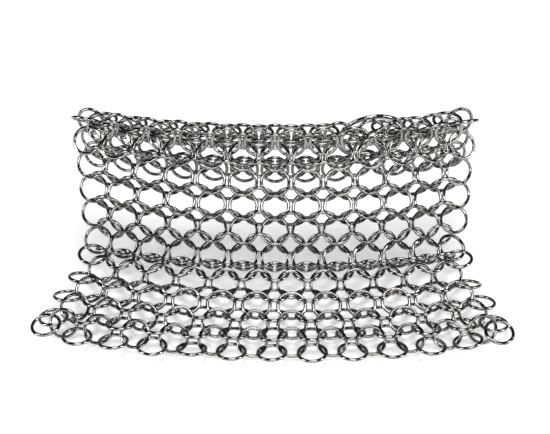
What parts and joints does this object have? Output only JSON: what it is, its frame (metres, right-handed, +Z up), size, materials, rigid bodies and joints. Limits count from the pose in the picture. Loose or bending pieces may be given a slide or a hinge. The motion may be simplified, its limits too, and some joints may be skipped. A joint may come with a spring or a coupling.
{
  "type": "chain mail pan scrubber",
  "caption": "Square sheet of linked steel rings with a large hanging ring, draped over a pan rim and out onto the table, for scouring cookware.",
  "frame": {"origin": "middle of the sheet on top of the pan rim, in the middle of the row that lies on the rim", "axes": "+X along the rim, -Y away from the pan towards the front edge on the table, +Z up"},
  "size_m": [0.1983, 0.1043, 0.0696],
  "materials": {
    "ring_steel": "polished drawn stainless wire",
    "large_ring_steel": "polished drawn stainless wire"
  },
  "bodies": {
    "rim_drape": {"narrow_row_03": "ring_steel", "wide_row_04": "ring_steel", "narrow_row_04": "ring_steel", "wide_row_05": "ring_steel", "narrow_row_05": "ring_steel", "wide_row_06": "ring_steel", "narrow_row_06": "ring_steel", "wide_row_07": "ring_steel", "narrow_row_07": "ring_steel", "wide_row_08": "ring_steel", "narrow_row_08": "ring_steel", "wide_row_09": "ring_steel"},
    "inner_flap": {"wide_row_01": "ring_steel", "narrow_row_01": "ring_steel", "wide_row_02": "ring_steel", "narrow_row_02": "ring_steel", "wide_row_03": "ring_steel"},
    "table_flap": {"narrow_row_09": "ring_steel", "wide_row_10": "ring_steel", "narrow_row_10": "ring_steel", "wide_row_11": "ring_steel", "narrow_row_11": "ring_steel", "wide_row_12": "ring_steel"},
    "front_edge": {"narrow_row_12": "ring_steel", "wide_row_13": "ring_steel", "narrow_row_13": "ring_steel", "wide_row_14": "ring_steel"},
    "hanging_ring": {"hanging_ring": "large_ring_steel"},
    "corner_ring_left": {"corner_ring_left": "ring_steel"},
    "corner_ring_right": {"corner_ring_right": "ring_steel"}
  },
  "joints": [
    {"name": "inner_flap_swing", "type": "hinge", "parent": "rim_drape", "child": "inner_flap", "pos_m": [0, 0.012, -0.0029], "axis": [1, 0, 0], "range_deg": [0, 12]},
    {"name": "table_flap_lift", "type": "hinge", "parent": "rim_drape", "child": "table_flap", "pos_m": [0, -0.0129, -0.0554], "axis": [-1, 0, 0], "range_deg": [0, 50]},
    {"name": "front_edge_lift", "type": "hinge", "parent": "table_flap", "child": "front_edge", "pos_m": [0, -0.0438, -0.0582], "axis": [-1, 0, 0], "range_deg": [0, 60]},
    {"name": "hanging_ring_flip", "type": "hinge", "parent": "inner_flap", "child": "hanging_ring", "pos_m": [0.04022, 0.0257, -0.02842], "axis": [-0.9879, -0.1548, 0], "range_deg": [0, 145]},
    {"name": "corner_ring_left_lift", "type": "hinge", "parent": "front_edge", "child": "corner_ring_left", "pos_m": [-0.08927, -0.04736, -0.06275], "axis": [-0.5158, 0.8567, 0], "range_deg": [0, 20]},
    {"name": "corner_ring_right_lift", "type": "hinge", "parent": "front_edge", "child": "corner_ring_right", "pos_m": [0.08679, -0.05095, -0.06304], "axis": [-0.5158, -0.8567, 0], "range_deg": [0, 20]}
  ]
}
